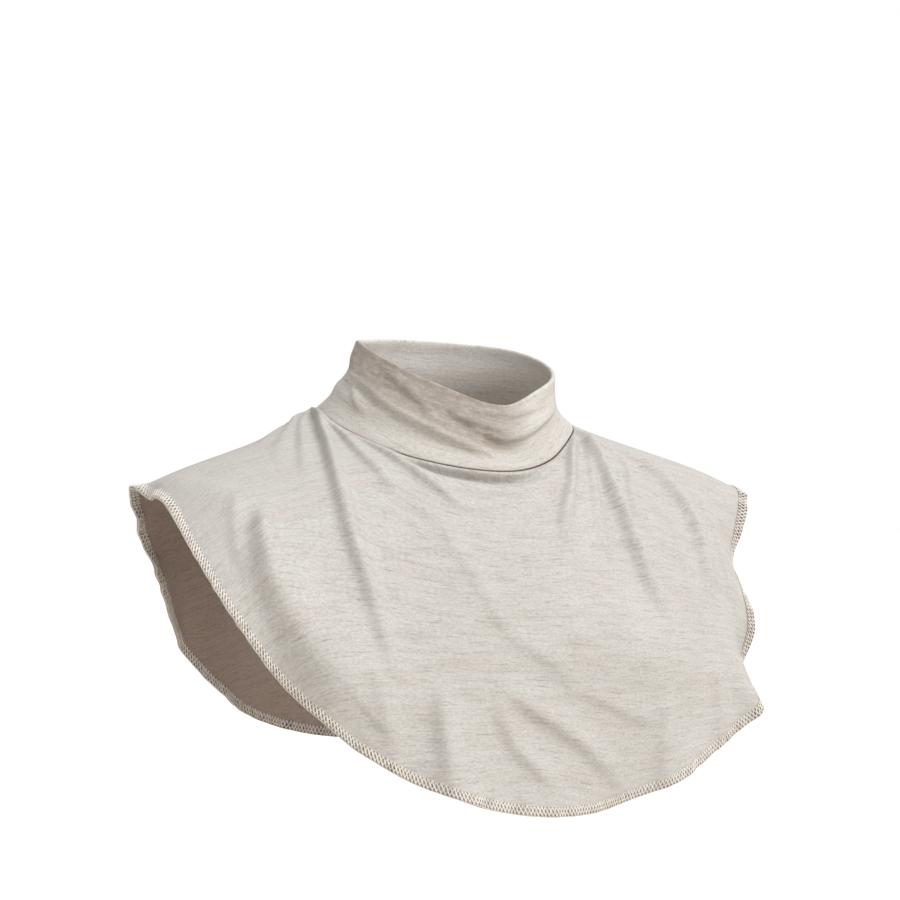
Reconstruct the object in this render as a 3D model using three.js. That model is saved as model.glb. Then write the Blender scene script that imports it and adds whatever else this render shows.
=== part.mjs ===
import * as THREE from 'three';

// Neck cover: a pull-on jersey cape with a short stand-up collar, in millimetres.
// Up is +Z, the front faces -Y and the wearer's left is +X.
// The origin is the middle of the neck seam, where the cover sits round the neck.
// Angles run round the neck in degrees: 0 is the wearer's left, 90 the back,
// 180 the wearer's right and 270 the front.

// Cloth and edges
const CAPE_CLOTH = 1.2;
const COLLAR_CLOTH = 2.0;
const RIM_ROUNDING = 0.8;
const HEM_WIDTH = 6;
const HEM_PROUD = 0.5;
const HEM_BACK = 1.7;
const HEM_EDGE_ROUNDING = 0.45;
const PIECE_GAP = 0.4;

// Rim of the collar, seen from above
const RIM_HALF_WIDTH = 73;
const RIM_HALF_DEPTH = 63;
const RIM_FORWARD = 7;

// Grid of the cloth
const COLUMNS = 96;
const FRONT_CROWDING = 0.35;
const CAPE_ROWS = 18;
const FOLD_STEPS = 14;

// Small steps for slopes: a share of the way down and degrees round the neck
const PROBE = 0.01;
const PROBE_TURN = 1;

// Shares of the way over which the seams hold the folds flat
const CAPE_SEAM_HOLD = 0.04;
const COLLAR_EDGE_HOLD = 0.15;

// How far the handles of each hanging line reach, as a share of its length
const HANG_SHARE = 0.36;

// Neck seam: where the collar is sewn to the cape
const SEAM = [
  { angle: 0, x: 99, y: 2, z: 5 },
  { angle: 22, x: 92, y: 31, z: 9 },
  { angle: 45, x: 70, y: 55, z: 12 },
  { angle: 90, x: 0, y: 78, z: 13 },
  { angle: 135, x: -70, y: 55, z: 12 },
  { angle: 160, x: -93, y: 29, z: 9 },
  { angle: 180, x: -99, y: 3, z: 1 },
  { angle: 203, x: -91, y: -27, z: -12 },
  { angle: 225, x: -70, y: -52, z: -24 },
  { angle: 250, x: -34, y: -70, z: -32 },
  { angle: 270, x: 2, y: -75, z: -33 },
  { angle: 292, x: 37, y: -67, z: -25 },
  { angle: 315, x: 68, y: -50, z: -9 },
  { angle: 337, x: 89, y: -27, z: 0 },
];

// Height of the collar's rim: high at the nape and low at the throat
const RIM = [
  { angle: 0, z: 47 },
  { angle: 22, z: 54 },
  { angle: 45, z: 58 },
  { angle: 90, z: 61 },
  { angle: 135, z: 58 },
  { angle: 160, z: 55 },
  { angle: 180, z: 48 },
  { angle: 203, z: 36 },
  { angle: 225, z: 25 },
  { angle: 250, z: 13 },
  { angle: 262, z: 10 },
  { angle: 272, z: 11 },
  { angle: 292, z: 21 },
  { angle: 315, z: 30 },
  { angle: 337, z: 38 },
];

// Side view of the collar from the rim (drop 0) to the seam (drop 1).
// The other columns say how far the cloth has moved out by then, on each side of the neck:
// it slouches over a soft roll on the wearer's right and stands up straight on the left.
const COLLAR_PROFILE = [
  { drop: 0, right: 0, left: 0 },
  { drop: 0.22, right: 0.14, left: -0.02 },
  { drop: 0.4, right: 0.2, left: 0 },
  { drop: 0.5, right: 0.3, left: 0.03 },
  { drop: 0.62, right: 0.5, left: 0.1 },
  { drop: 0.8, right: 0.66, left: 0.42 },
  { drop: 1, right: 1, left: 1 },
];

// Lower edge of the cape, with the slope below level of the cloth
// as it leaves the neck seam and as it reaches this edge, in degrees
const HEM = [
  { angle: 0, x: 258, y: -22, z: -45, leave: 19, arrive: 23 },
  { angle: 22, x: 232, y: 54, z: -60, leave: 26, arrive: 42 },
  { angle: 45, x: 178, y: 90, z: -138, leave: 32, arrive: 76 },
  { angle: 68, x: 100, y: 112, z: -206, leave: 38, arrive: 84 },
  { angle: 90, x: 0, y: 120, z: -228, leave: 40, arrive: 87 },
  { angle: 112, x: -95, y: 112, z: -207, leave: 38, arrive: 84 },
  { angle: 135, x: -158, y: 92, z: -160, leave: 34, arrive: 78 },
  { angle: 153, x: -200, y: 74, z: -96, leave: 30, arrive: 58 },
  { angle: 168, x: -227, y: 46, z: -49, leave: 27, arrive: 28 },
  { angle: 183, x: -229, y: -2, z: -55, leave: 27, arrive: 36 },
  { angle: 199, x: -228, y: -42, z: -88, leave: 29, arrive: 55 },
  { angle: 215, x: -214, y: -71, z: -130, leave: 31, arrive: 68 },
  { angle: 230, x: -182, y: -92, z: -176, leave: 36, arrive: 78 },
  { angle: 246, x: -126, y: -110, z: -223, leave: 42, arrive: 84 },
  { angle: 262, x: -54, y: -124, z: -252, leave: 46, arrive: 86 },
  { angle: 278, x: 22, y: -127, z: -260, leave: 47, arrive: 86 },
  { angle: 294, x: 98, y: -117, z: -249, leave: 42, arrive: 84 },
  { angle: 310, x: 168, y: -102, z: -222, leave: 36, arrive: 76 },
  { angle: 323, x: 208, y: -90, z: -188, leave: 30, arrive: 70 },
  { angle: 337, x: 221, y: -68, z: -128, leave: 25, arrive: 60 },
  { angle: 350, x: 243, y: -45, z: -74, leave: 21, arrive: 40 },
];

// Folds of the cape. Each crest runs through a few places, given by their angle and by
// their depth as a share of the way from the neck seam to the hem. Height is how far
// the crest stands out, or sinks in where it is below zero, and width is to either side.
const CAPE_FOLDS = [
  { crest: [[176, 0], [202, 0.21], [223, 0.38], [238, 0.58], [244, 0.8]], height: 6, width: 10 },
  { crest: [[182, 0], [199, 0.06], [222, 0.13]], height: 3, width: 6 },
  { crest: [[212, 0.06], [238, 0.09]], height: 2, width: 5 },
  { crest: [[229, 0.12], [244, 0.19], [259, 0.34]], height: 3, width: 9 },
  { crest: [[309, 0], [290, 0.06], [277, 0.13]], height: 3, width: 6 },
  { crest: [[318, 0.01], [304, 0.05], [297, 0.13]], height: 3, width: 6 },
  { crest: [[330, 0], [309, 0.09], [303, 0.18], [299, 0.32], [300, 0.5]], height: 5, width: 8 },
  { crest: [[335, 0.03], [322, 0.11], [313, 0.22]], height: 3, width: 6 },
  { crest: [[338, 0.1], [340, 0.38], [330, 0.5], [318, 0.62]], height: 4, width: 10 },
  { crest: [[210, 0.62], [222, 0.77], [232, 0.86]], height: 4, width: 9 },
  { crest: [[262, 0.62], [272, 0.77], [286, 0.97]], height: 4, width: 9 },
  { crest: [[273, 0.6], [280, 0.72], [289, 0.8]], height: 2, width: 8 },
  { crest: [[150, 0.04], [140, 0.3], [130, 0.6]], height: 4, width: 12 },
  { crest: [[30, 0.04], [40, 0.3], [52, 0.6]], height: 4, width: 12 },
];

// Ruffles of the cape's edge: each pushes the cloth out, or in where it is below zero,
// over a spread of degrees and over the last share of the way to the hem.
const RUFFLES = [
  { angle: 345, spread: 5, push: -15, reach: 0.3 },
  { angle: 334, spread: 4, push: 5, reach: 0.3 },
  { angle: 326, spread: 4, push: -13, reach: 0.35 },
  { angle: 317, spread: 4, push: 15, reach: 0.35 },
  { angle: 308, spread: 3, push: 1, reach: 0.25 },
  { angle: 297, spread: 4, push: 5, reach: 0.28 },
  { angle: 285, spread: 5, push: -3, reach: 0.22 },
  { angle: 270, spread: 5, push: 3, reach: 0.25 },
  { angle: 257, spread: 4, push: 6, reach: 0.3 },
  { angle: 249, spread: 3, push: -2, reach: 0.25 },
  { angle: 240, spread: 3, push: -5, reach: 0.25 },
  { angle: 158, spread: 5, push: -7, reach: 0.25 },
  { angle: 148, spread: 4, push: -11, reach: 0.3 },
  { angle: 137, spread: 4, push: 5, reach: 0.3 },
  { angle: 122, spread: 5, push: -5, reach: 0.3 },
  { angle: 106, spread: 6, push: 5, reach: 0.3 },
  { angle: 90, spread: 6, push: -5, reach: 0.3 },
  { angle: 74, spread: 6, push: 5, reach: 0.3 },
  { angle: 58, spread: 5, push: -5, reach: 0.3 },
  { angle: 43, spread: 4, push: 5, reach: 0.3 },
  { angle: 30, spread: 4, push: -7, reach: 0.25 },
  { angle: 17, spread: 4, push: 4, reach: 0.25 },
];

// Creases of the collar, by angle and by drop from the rim
const COLLAR_FOLDS = [
  { crest: [[205, 0.2], [232, 0.55], [262, 0.84]], height: -2, width: 6 },
  { crest: [[228, 0.25], [246, 0.5], [268, 0.62]], height: 2, width: 6 },
  { crest: [[262, 0.55], [276, 0.7], [292, 0.6]], height: -1.6, width: 5 },
  { crest: [[196, 0.68], [222, 0.8], [248, 0.93]], height: 2, width: 6 },
];

const CAPE_MATERIAL = new THREE.MeshStandardMaterial({ color: '#d8d2c8', roughness: 0.95, metalness: 0 });
const COLLAR_MATERIAL = new THREE.MeshStandardMaterial({ color: '#cfc8bd', roughness: 0.95, metalness: 0 });
const HEM_MATERIAL = new THREE.MeshStandardMaterial({ color: '#d2c9bc', roughness: 0.9, metalness: 0 });

function wrapped(angle) {
  return ((angle % 360) + 360) % 360;
}

// Degrees from one angle to another the short way round
function turn(from, to) {
  return wrapped(to - from + 180) - 180;
}

function smoothstep(share) {
  return THREE.MathUtils.smoothstep(share, 0, 1);
}

// Cubic from start to end with these slopes at both ends
function hermite(start, leave, end, arrive, t) {
  const t2 = t * t;
  const t3 = t2 * t;
  return (2 * t3 - 3 * t2 + 1) * start + (t3 - 2 * t2 + t) * leave
    + (3 * t2 - 2 * t3) * end + (t3 - t2) * arrive;
}

// Smooth closed curve through the rows of a table, read at any angle
function around(rows, angle) {
  const at = wrapped(angle);
  const count = rows.length;
  const last = rows.findLastIndex((row) => row.angle <= at);
  const before = rows[(last + count - 1) % count];
  const start = rows[last];
  const end = rows[(last + 1) % count];
  const after = rows[(last + 2) % count];
  const spanBefore = wrapped(start.angle - before.angle);
  const span = wrapped(end.angle - start.angle);
  const spanAfter = wrapped(after.angle - end.angle);
  const t = wrapped(at - start.angle) / span;
  const value = {};
  for (const column of Object.keys(start)) {
    const leave = (end[column] - before[column]) * span / (spanBefore + span);
    const arrive = (after[column] - start[column]) * span / (span + spanAfter);
    value[column] = hermite(start[column], leave, end[column], arrive, t);
  }
  return value;
}

// Straight lines through the rows of the collar's profile
function profileAt(drop) {
  const next = Math.max(1, COLLAR_PROFILE.findIndex((row) => row.drop >= drop));
  const start = COLLAR_PROFILE[next - 1];
  const end = COLLAR_PROFILE[next];
  const t = (drop - start.drop) / (end.drop - start.drop);
  return {
    right: THREE.MathUtils.lerp(start.right, end.right, t),
    left: THREE.MathUtils.lerp(start.left, end.left, t),
  };
}

function seamPoint(angle) {
  const row = around(SEAM, angle);
  return new THREE.Vector3(row.x, row.y, row.z);
}

function rimPoint(angle) {
  const turned = THREE.MathUtils.degToRad(angle);
  return new THREE.Vector3(
    RIM_HALF_WIDTH * Math.cos(turned),
    RIM_HALF_DEPTH * Math.sin(turned) - RIM_FORWARD,
    around(RIM, angle).z,
  );
}

// Collar without its creases, at a drop from the rim
function collarForm(angle, drop) {
  const rim = rimPoint(angle);
  const seam = seamPoint(angle);
  const side = profileAt(drop);
  const rightness = 0.5 - 0.5 * Math.cos(THREE.MathUtils.degToRad(angle));
  const out = THREE.MathUtils.lerp(side.left, side.right, rightness);
  return new THREE.Vector3(
    THREE.MathUtils.lerp(rim.x, seam.x, out),
    THREE.MathUtils.lerp(rim.y, seam.y, out),
    THREE.MathUtils.lerp(rim.z, seam.z, drop),
  );
}

function downhill(outward, slope) {
  const angle = THREE.MathUtils.degToRad(slope);
  return outward.clone().multiplyScalar(Math.cos(angle)).setZ(-Math.sin(angle));
}

// Line in which the cape hangs from the neck seam to the hem at one angle
function hangingLine(angle) {
  const seam = seamPoint(angle);
  const row = around(HEM, angle);
  const hem = new THREE.Vector3(row.x, row.y, row.z);
  const outward = new THREE.Vector3(hem.x - seam.x, hem.y - seam.y, 0).normalize();
  const reach = HANG_SHARE * seam.distanceTo(hem);
  const near = seam.clone().addScaledVector(downhill(outward, row.leave), reach);
  const far = hem.clone().addScaledVector(downhill(outward, row.arrive), -reach);
  return new THREE.CubicBezierCurve3(seam, near, far, hem);
}

// Cape without its folds, at a share of the way from the neck seam to the hem
function capeForm(angle, depth) {
  return hangingLine(angle).getPoint(depth);
}

// Share of a hanging line that this length of cloth takes at either end
function shareOf(length, angle) {
  const line = hangingLine(angle);
  return length / (3 * HANG_SHARE * line.v0.distanceTo(line.v3));
}

// Outward direction of a form; down then round gives the outer side
function outwardOf(form, angle, along) {
  const up = form(angle, Math.max(0, along - PROBE));
  const down = form(angle, Math.min(1, along + PROBE));
  const behind = form(angle - PROBE_TURN, along);
  const ahead = form(angle + PROBE_TURN, along);
  return down.sub(up).cross(ahead.sub(behind)).normalize();
}

// Stretches along the crest of each fold, on the form that it lies on
function withStretches(folds, form) {
  return folds.map((fold) => {
    const path = new THREE.SplineCurve(fold.crest.map((place) => new THREE.Vector2(...place)));
    const points = path.getPoints(FOLD_STEPS).map((place) => form(place.x, place.y));
    const stretches = points.slice(1).map((end, step) => new THREE.Line3(points[step], end));
    return { ...fold, stretches };
  });
}

// How far a fold lifts the cloth at a point: most on its crest, nothing at its two ends
function foldLift(fold, point) {
  const nearest = new THREE.Vector3();
  let most = 0;
  fold.stretches.forEach((stretch, step) => {
    const along = stretch.closestPointToPointParameter(point, true);
    const share = (step + along) / FOLD_STEPS;
    const fade = 1 - (2 * share - 1) ** 4;
    const distance = stretch.at(along, nearest).distanceTo(point);
    most = Math.max(most, fade * Math.exp(-((distance / fold.width) ** 2)));
  });
  return fold.height * most;
}

function ruffleLift(angle, depth) {
  let lift = 0;
  for (const ruffle of RUFFLES) {
    const across = turn(ruffle.angle, angle) / ruffle.spread;
    const down = smoothstep((depth - 1 + ruffle.reach) / ruffle.reach);
    lift += ruffle.push * down * Math.exp(-(across ** 2));
  }
  return lift;
}

const capeFolds = withStretches(CAPE_FOLDS, capeForm);
const collarFolds = withStretches(COLLAR_FOLDS, collarForm);

// Outer face of a piece of cloth with its folds, and the outward direction there
function outerFace(form, folds, edgeLift, angle, along) {
  const point = form(angle, along);
  const outward = outwardOf(form, angle, along);
  let lift = edgeLift(angle, along);
  for (const fold of folds) {
    lift += foldLift(fold, point);
  }
  point.addScaledVector(outward, lift);
  return { point, outward };
}

function capeFace(angle, depth) {
  const seamHold = smoothstep(depth / CAPE_SEAM_HOLD);
  const place = outerFace(capeForm, capeFolds, ruffleLift, angle, depth);
  place.point.lerpVectors(capeForm(angle, depth), place.point, seamHold);
  return place;
}

function collarFace(angle, drop) {
  const hold = smoothstep(drop / COLLAR_EDGE_HOLD) * smoothstep((1 - drop) / COLLAR_EDGE_HOLD);
  const place = outerFace(collarForm, collarFolds, () => 0, angle, drop);
  place.point.lerpVectors(collarForm(angle, drop), place.point, hold);
  return place;
}

// Cloth of one thickness between its outer face and its inner face
function clothSection(faces, thickness) {
  const outer = faces.map((face) => face.point);
  const inner = faces.map((face) => face.point.clone().addScaledVector(face.outward, -thickness));
  return [...outer, ...inner.reverse()];
}

function capeSection(angle) {
  const first = shareOf(PIECE_GAP, angle);
  const last = 1 - shareOf(HEM_WIDTH + PIECE_GAP, angle);
  const faces = [];
  for (let row = 0; row <= CAPE_ROWS; row += 1) {
    faces.push(capeFace(angle, THREE.MathUtils.lerp(first, last, row / CAPE_ROWS)));
  }
  return clothSection(faces, CAPE_CLOTH);
}

function collarSection(angle) {
  const faces = COLLAR_PROFILE.map((row) => collarFace(angle, row.drop));
  const top = faces[0].point.clone().addScaledVector(faces[0].outward, -COLLAR_CLOTH / 2);
  top.z += RIM_ROUNDING;
  return [...clothSection(faces, COLLAR_CLOTH), top];
}

// Overlocked edge: a flat band with its outer corners rounded off
function hemSection(angle) {
  const start = capeFace(angle, 1 - shareOf(HEM_WIDTH, angle));
  const end = capeFace(angle, 1);
  const middle = start.point.clone().lerp(end.point, 0.5);
  const at = (point, face, lift) => point.clone().addScaledVector(face.outward, lift);
  return [
    at(start.point, start, HEM_PROUD),
    at(middle, end, HEM_PROUD),
    at(end.point, end, HEM_PROUD - HEM_EDGE_ROUNDING),
    at(end.point, end, HEM_EDGE_ROUNDING - HEM_BACK),
    at(middle, end, -HEM_BACK),
    at(start.point, start, -HEM_BACK),
  ];
}

// Angle of a column; the columns lie closer together at the front
function columnAngle(column) {
  const even = 360 * column / COLUMNS;
  const crowding = Math.sin(THREE.MathUtils.degToRad(even - 90));
  return even + THREE.MathUtils.radToDeg(FRONT_CROWDING * crowding);
}

// Faces between two neighbouring columns of a ring. The inner half of the outline runs
// back up, so its quads are split the other way: both faces of the cloth then match.
function quadFaces(size, k, column, next) {
  const below = (k + 1) % size;
  const here = column * size + k;
  const hereBelow = column * size + below;
  const there = next * size + k;
  const thereBelow = next * size + below;
  if (k < size / 2) {
    return [here, hereBelow, thereBelow, here, thereBelow, there];
  }
  return [here, hereBelow, there, hereBelow, thereBelow, there];
}

// Closed ring that passes through the same outline at every column
function ringOf(name, sectionAt, material) {
  const sections = Array.from({ length: COLUMNS }, (_, column) => sectionAt(columnAngle(column)));
  const size = sections[0].length;
  const faces = [];
  for (let column = 0; column < COLUMNS; column += 1) {
    for (let k = 0; k < size; k += 1) {
      faces.push(...quadFaces(size, k, column, (column + 1) % COLUMNS));
    }
  }
  const geometry = new THREE.BufferGeometry().setFromPoints(sections.flat());
  geometry.setIndex(faces);
  geometry.computeVertexNormals();
  const mesh = new THREE.Mesh(geometry, material);
  mesh.name = name;
  return mesh;
}

const group = new THREE.Group();
group.name = 'neck_cover';
group.add(ringOf('collar', collarSection, COLLAR_MATERIAL));
group.add(ringOf('cape', capeSection, CAPE_MATERIAL));
group.add(ringOf('hem', hemSection, HEM_MATERIAL));

export default group;
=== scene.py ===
"""Neck cover in heather jersey: a short folded collar over a draped cape with an overlocked edge.

The tables hold millimetres, as a cutter would write them, and the meshes are made in metres.
Up is +Z, the front faces -Y and the wearer's left is +X. Angles run round the neck in degrees:
0 is the wearer's left, 90 the back, 180 the wearer's right and 270 the front.
"""

import logging
import math
from abc import ABC, abstractmethod
from dataclasses import dataclass
from enum import Enum
from typing import Any, NamedTuple, Sequence

import bpy
import numpy as np
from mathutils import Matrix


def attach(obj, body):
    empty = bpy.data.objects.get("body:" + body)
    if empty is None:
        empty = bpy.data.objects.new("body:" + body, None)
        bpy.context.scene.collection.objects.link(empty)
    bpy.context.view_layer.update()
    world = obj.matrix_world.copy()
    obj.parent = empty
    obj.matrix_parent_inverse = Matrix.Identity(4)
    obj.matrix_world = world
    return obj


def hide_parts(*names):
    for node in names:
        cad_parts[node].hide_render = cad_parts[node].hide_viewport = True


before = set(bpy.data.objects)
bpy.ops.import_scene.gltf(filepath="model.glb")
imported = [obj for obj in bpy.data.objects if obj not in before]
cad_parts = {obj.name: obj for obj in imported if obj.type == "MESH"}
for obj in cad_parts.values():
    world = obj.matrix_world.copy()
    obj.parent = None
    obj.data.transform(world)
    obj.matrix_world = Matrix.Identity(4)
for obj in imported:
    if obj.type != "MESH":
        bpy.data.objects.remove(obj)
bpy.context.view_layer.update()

Array = np.ndarray
Colour = tuple[float, float, float, float]
LOG = logging.getLogger("neck_cover")
MM = 0.001

# The cloth's flat pattern, the marks that the materials read, and the groups of points
PATTERN = "pattern"
INSIDE = "inside"
UNDER_THREADS = "under_threads"
FULL_CLOTH = "full_cloth"
INNER_LAYER = "inner_layer"
STITCHED_EDGE = "stitched_edge"
LOOSE_CLOTH = "loose_cloth"

# Share of its thickness that pressed cloth keeps, how far loose cloth is eased, and, in metres,
# how close two points lie to be sewn together
THIN_SHARE = 0.3
EASE_FACTOR = 0.5
EASE_ROUNDS = 4
SEWN_WITHIN = 0.00001

BACK_ANGLE = 90.0


class SeamPlace(NamedTuple):
    """A place on the neck seam."""

    angle: float
    x: float
    y: float
    z: float


class RimPlace(NamedTuple):
    """Height of the collar's rim at one angle."""

    angle: float
    z: float


class CollarStep(NamedTuple):
    """How far out the collar has moved at a drop from its rim, on each side of the neck."""

    drop: float
    right: float
    left: float


class HemPlace(NamedTuple):
    """A place on the cape's edge, with the cloth's slope at the neck seam and at the edge."""

    angle: float
    x: float
    y: float
    z: float
    leave: float
    arrive: float


class CourseRow(NamedTuple):
    """How far down the flat cloth the cape lies at one angle, at the seam, half way and at the edge.

    The knit's courses run level on the flat cloth. Where the drape pulls the cloth they don't hang
    level, and behind the shoulders the distances are negative.
    """

    angle: float
    seam: float
    middle: float
    edge: float


class Ruffle(NamedTuple):
    """A wave of the cape's edge: a push over a spread of degrees and the last share of the drop.

    The flare turns the very edge outward by that much over the last of the cloth.
    """

    angle: float
    spread: float
    push: float
    reach: float
    flare: float = 0.0


class Fold(NamedTuple):
    """A fold along a crest of (angle, share of the way down) places.

    One side of it is steep, at a share of the width: -1 is the side of smaller angles on a crest
    that runs down. Opening is the share of the width that the fold has where it starts.
    """

    crest: tuple[tuple[float, float], ...]
    height: float
    width: float
    steep: float = 1.0
    side: int = -1
    opening: float = 1.0


SEAM = (
    SeamPlace(0, 99, 2, 5),
    SeamPlace(22, 92, 31, 9),
    SeamPlace(45, 70, 55, 12),
    SeamPlace(90, 0, 78, 13),
    SeamPlace(135, -70, 55, 12),
    SeamPlace(160, -93, 29, 9),
    SeamPlace(180, -99, 3, 1),
    SeamPlace(203, -91, -27, -12),
    SeamPlace(225, -70, -52, -24),
    SeamPlace(250, -34, -70, -32),
    SeamPlace(270, 2, -75, -33),
    SeamPlace(292, 37, -67, -25),
    SeamPlace(315, 68, -50, -9),
    SeamPlace(337, 89, -27, 0),
)

RIM = (
    RimPlace(0, 47),
    RimPlace(22, 54),
    RimPlace(45, 58),
    RimPlace(90, 61),
    RimPlace(135, 58),
    RimPlace(160, 55),
    RimPlace(180, 48),
    RimPlace(203, 36),
    RimPlace(225, 25),
    RimPlace(250, 13),
    RimPlace(262, 10),
    RimPlace(272, 11),
    RimPlace(292, 21),
    RimPlace(315, 30),
    RimPlace(337, 38),
)

COLLAR_PROFILE = (
    CollarStep(0, 0, 0),
    CollarStep(0.22, 0.14, -0.02),
    CollarStep(0.4, 0.2, 0),
    CollarStep(0.5, 0.3, 0.03),
    CollarStep(0.62, 0.5, 0.1),
    CollarStep(0.8, 0.66, 0.42),
    CollarStep(1, 1, 1),
)

HEM = (
    HemPlace(0, 258, -22, -45, 19, 23),
    HemPlace(22, 232, 54, -60, 26, 42),
    HemPlace(45, 178, 90, -138, 32, 76),
    HemPlace(68, 100, 112, -206, 38, 84),
    HemPlace(90, 0, 120, -228, 40, 87),
    HemPlace(112, -95, 112, -207, 38, 84),
    HemPlace(135, -158, 92, -160, 34, 78),
    HemPlace(153, -200, 74, -96, 30, 58),
    HemPlace(168, -227, 46, -49, 27, 28),
    HemPlace(183, -229, -2, -55, 27, 36),
    HemPlace(199, -228, -42, -88, 29, 55),
    HemPlace(215, -214, -71, -130, 31, 68),
    HemPlace(230, -182, -92, -176, 36, 78),
    HemPlace(246, -126, -110, -223, 42, 84),
    HemPlace(262, -54, -124, -252, 46, 86),
    HemPlace(278, 22, -127, -260, 47, 86),
    HemPlace(294, 98, -117, -249, 42, 84),
    HemPlace(310, 168, -102, -222, 36, 76),
    HemPlace(323, 208, -90, -188, 30, 70),
    HemPlace(337, 221, -68, -128, 25, 60),
    HemPlace(350, 243, -45, -74, 21, 40),
)

COURSES = (
    CourseRow(0, 0, 10, 30),
    CourseRow(22, -30, -45, -75),
    CourseRow(45, -55, -95, -165),
    CourseRow(68, -70, -140, -240),
    CourseRow(90, -80, -160, -265),
    CourseRow(112, -70, -140, -240),
    CourseRow(135, -55, -105, -185),
    CourseRow(153, -35, -70, -115),
    CourseRow(168, -20, -40, -60),
    CourseRow(183, 5, 12, 15),
    CourseRow(190, 20, 42, 70),
    CourseRow(199, 42, 85, 122),
    CourseRow(207, 62, 118, 152),
    CourseRow(215, 82, 142, 182),
    CourseRow(226, 92, 158, 216),
    CourseRow(236, 86, 170, 255),
    CourseRow(246, 79, 181, 284),
    CourseRow(267, 73, 194, 315),
    CourseRow(282, 74, 189, 304),
    CourseRow(303, 65, 162, 286),
    CourseRow(315, 55, 140, 260),
    CourseRow(326, 42, 112, 210),
    CourseRow(337, 27, 82, 150),
    CourseRow(350, 10, 40, 80),
)

RIGHT_NECK_FOLDS = (
    Fold(
        (
            (158, 0), (175, 0.028), (187, 0.094), (197, 0.154),
            (215, 0.3), (228, 0.435), (237, 0.557), (246, 0.76),
        ),
        8, 9, 0.45, opening=0.4,
    ),
    Fold(
        ((165, 0), (179, 0.02), (194, 0.036), (208, 0.082), (221, 0.128), (231, 0.182)),
        3.4, 9, 0.35, opening=0.5,
    ),
    Fold(
        ((196, 0.012), (215, 0.024), (226, 0.052), (236, 0.086), (245, 0.116), (252, 0.15)),
        4, 8, 0.35, opening=0.6,
    ),
    Fold(
        ((232, 0.156), (247, 0.228), (256, 0.345), (259, 0.4), (264, 0.515), (272, 0.6), (276, 0.7)),
        1.8, 9, 0.5,
    ),
    Fold(((160, 0.004), (164, 0.05), (175, 0.13), (187, 0.22), (205, 0.37)), 3, 8, 0.3, opening=0.5),
    Fold(((158, 0.03), (161, 0.1), (170, 0.165), (188, 0.391)), 3, 8, 0.35, opening=0.6),
    Fold(((156, 0.06), (161, 0.16), (176, 0.36)), 2, 8, 0.5),
)

LEFT_NECK_FOLDS = (
    Fold(((316, 0.006), (300, 0.03), (286, 0.1), (280, 0.16), (277, 0.22)), 6, 9, 0.4, opening=0.5),
    Fold(
        ((321, 0.01), (315, 0.042), (304, 0.1), (297, 0.144), (290, 0.226), (288, 0.317)),
        3.2, 9, 0.4, opening=0.5,
    ),
    Fold(
        (
            (326, 0.01), (316, 0.05), (309, 0.105), (303, 0.18),
            (300, 0.26), (298, 0.33), (298, 0.45), (300, 0.56),
        ),
        11, 10, 0.4, opening=0.5,
    ),
    Fold(
        ((331, 0.012), (331, 0.07), (330, 0.13), (326, 0.19), (317, 0.216), (311, 0.26), (308, 0.33)),
        3.6, 7, 0.4, opening=0.6,
    ),
    Fold(
        ((337, 0.21), (339, 0.29), (340, 0.37), (339, 0.455), (335, 0.55), (327, 0.577), (321, 0.647)),
        9, 13, 0.45, opening=0.4,
    ),
    Fold(((348, 0.6), (345, 0.737), (339, 0.8), (332, 0.83), (328, 0.908)), 2.5, 7, 0.5),
    Fold(((322, 0.16), (316, 0.27), (312, 0.36), (307, 0.45), (305, 0.53)), 1.6, 7, 0.5),
    Fold(((329, 0.26), (325, 0.36), (320, 0.45), (315, 0.54), (312, 0.6)), 1.6, 7, 0.5),
)

SEAM_FOLDS = (
    Fold(
        ((222, 0.014), (235, 0.015), (250, 0.015), (262, 0.015), (272, 0.013), (285, 0.01), (300, 0.009)),
        3, 2.6,
    ),
    Fold(((222, 0.028), (235, 0.031), (250, 0.032), (262, 0.032), (272, 0.026), (281, 0.018)), -5.6, 2.8),
    Fold(
        ((226, 0.05), (235, 0.062), (250, 0.066), (262, 0.07), (272, 0.066), (285, 0.05), (300, 0.04)),
        2.6, 7, 0.7, 1,
    ),
)

EDGE_FOLDS = (
    Fold(((197, 0.7), (200, 0.74), (205, 0.8), (210, 0.85)), 2.6, 9, 0.5, opening=0.4),
    Fold(
        ((206, 0.62), (208, 0.67), (213, 0.73), (219, 0.785), (226, 0.82), (233, 0.85), (240, 0.88)),
        12, 30, 0.62, opening=0.16,
    ),
    Fold(((241, 0.74), (243, 0.82), (245, 0.9), (246, 0.98)), 3, 9, 0.5),
    Fold(
        ((262, 0.66), (266, 0.7), (270, 0.74), (273, 0.77), (277, 0.82), (281, 0.88), (286, 0.96)),
        4.4, 11, 0.5,
    ),
    Fold(((262, 0.72), (263, 0.762), (265, 0.824), (268, 0.868), (271, 0.92)), 3.4, 10, 0.5),
    Fold(((253, 0.72), (253, 0.8), (254, 0.9), (254, 1)), 6.5, 9, 0.6),
    Fold(((295, 0.78), (295, 0.816), (294, 0.892), (293, 1)), 5, 8, 0.5),
    Fold(((311, 0.8), (310, 0.87), (309, 1)), 5, 9, 0.5),
    Fold(((277, 0.69), (282, 0.725), (287, 0.772), (292, 0.82)), 2, 10, 0.25),
    Fold(((272, 0.53), (281, 0.55), (288, 0.58), (296, 0.65), (304, 0.73)), 8.5, 34, 0.9, 1),
    Fold(((177, 0.93), (180, 0.88), (185, 0.83), (190, 0.76), (196, 0.69), (199, 0.62)), 5, 18, 0.5, 1),
)

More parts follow.
